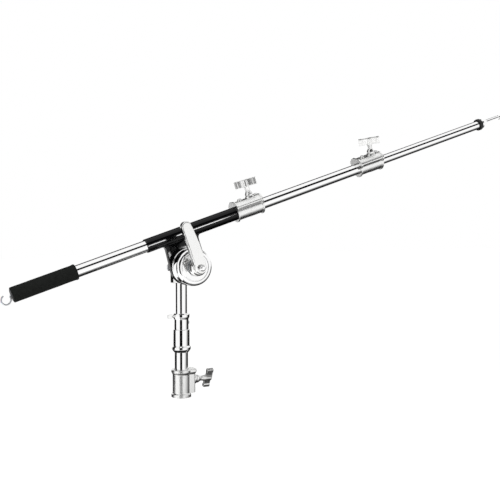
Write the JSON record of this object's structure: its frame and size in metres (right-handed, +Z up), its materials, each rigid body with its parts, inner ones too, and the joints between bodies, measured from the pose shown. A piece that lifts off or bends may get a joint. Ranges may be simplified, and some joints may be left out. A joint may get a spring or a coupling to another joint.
{
  "type": "overhead boom arm",
  "caption": "Telescopic overhead boom arm on a lever-locked tilting head and column, with T-handle locks, foam grip, weight hook and stud tip.",
  "frame": {"origin": "centre of the column socket in the stand clamp's lower face, on the column axis", "axes": "+Z up the column; +X towards the boom tip, which rises 18.4 degrees above level; -Y is the side of the clutch drum and lever"},
  "size_m": [1.7787, 0.2061, 0.9257],
  "materials": {
    "chrome": "bright chrome-plated steel tube and turned parts",
    "cast_metal": "polished, plated casting",
    "black_coat": "gloss black powder coat",
    "foam": "closed-cell foam, matt",
    "rubber": "moulded black rubber",
    "nylon": "moulded nylon",
    "brass": "machined brass",
    "steel": "zinc-plated steel",
    "friction_lining": "fibre friction lining"
  },
  "bodies": {
    "base": {"stand_clamp": "cast_metal", "riser_bush": "nylon", "brake_shoe_0": "brass"},
    "handle_0": {"clamp_screw_0": "steel", "t_handle_0": "cast_metal"},
    "riser": {"riser_tube": "chrome", "riser_cap": "chrome", "receiver": "chrome", "receiver_set_screw": "steel", "thumb_pad": "brass"},
    "thumb": {"thumb_screw": "cast_metal"},
    "head": {"column_tube": "chrome", "column_end_glide": "nylon", "head_casting": "cast_metal", "cross_bolt": "steel", "cross_nut": "steel", "pivot_stud": "steel", "rear_friction_disc": "friction_lining", "front_friction_disc": "friction_lining", "clutch_drum": "cast_metal"},
    "thrust": {"thrust_washer": "steel", "disc_springs": "steel"},
    "lever": {"lever_hub": "cast_metal", "lever_arm": "cast_metal", "lever_cap_nut": "steel"},
    "boom": {"boom_sleeve": "black_coat", "rear_glide": "nylon", "front_glide": "nylon", "collar_1": "cast_metal", "brake_shoe_1": "brass"},
    "handle_1": {"clamp_screw_1": "steel", "t_handle_1": "cast_metal"},
    "main": {"main_tube": "chrome", "rear_plug": "nylon", "foam_grip": "foam", "collar_2": "cast_metal", "brake_shoe_2": "brass"},
    "hook": {"hook": "steel", "hook_nut": "steel"},
    "handle_2": {"clamp_screw_2": "steel", "t_handle_2": "cast_metal"},
    "inner": {"inner_tube": "chrome", "inner_glide": "nylon", "stop_ring": "rubber", "tip_cap": "chrome", "tip_spigot": "steel"}
  },
  "joints": [
    {"name": "riser_height", "type": "slide", "parent": "base", "child": "riser", "axis": [0, 0, 1], "range_m": [-0.0515, 0.03]},
    {"name": "handle_0_turn", "type": "hinge", "parent": "base", "child": "handle_0", "pos_m": [0.08, 0, 0.05], "axis": [1, 0, 0], "range_deg": [0, 360]},
    {"name": "thumb_turn", "type": "hinge", "parent": "riser", "child": "thumb", "pos_m": [-0.03, 0, 0.247], "axis": [-1, 0, 0], "range_deg": [0, 360]},
    {"name": "head_pan", "type": "hinge", "parent": "riser", "child": "head", "pos_m": [0, 0, 0.402], "axis": [0, 0, 1], "continuous": true},
    {"name": "thrust_lift", "type": "slide", "parent": "head", "child": "thrust", "axis": [0, -1, 0], "range_m": [0, 0.0009]},
    {"name": "lever_turn", "type": "hinge", "parent": "thrust", "child": "lever", "pos_m": [0, -0.14, 0.402], "axis": [0, -1, 0], "range_deg": [0, 150]},
    {"name": "boom_tilt", "type": "hinge", "parent": "head", "child": "boom", "pos_m": [0, -0.055, 0.402], "axis": [0, -1, 0], "range_deg": [-93.4, 56.6]},
    {"name": "handle_1_turn", "type": "hinge", "parent": "boom", "child": "handle_1", "pos_m": [0.21609, -0.055, 0.57927], "axis": [-0.3156, 0, 0.9489], "range_deg": [0, 360]},
    {"name": "main_slide", "type": "slide", "parent": "boom", "child": "main", "axis": [0.9489, 0, 0.3156], "range_m": [-0.376, 0.212]},
    {"name": "hook_swivel", "type": "hinge", "parent": "main", "child": "hook", "pos_m": [-0.51359, -0.055, 0.33654], "axis": [0.9489, 0, 0.3156], "continuous": true},
    {"name": "handle_2_turn", "type": "hinge", "parent": "main", "child": "handle_2", "pos_m": [0.66586, -0.055, 0.72889], "axis": [-0.3088, -0.2079, 0.9281], "range_deg": [0, 360]},
    {"name": "inner_slide", "type": "slide", "parent": "main", "child": "inner", "axis": [0.9489, 0, 0.3156], "range_m": [-0.453, 0.53]}
  ],
  "couplings": [
    {"joint": "thrust_lift", "follows": "lever_turn", "m_per_rad": 0.00031831}
  ]
}
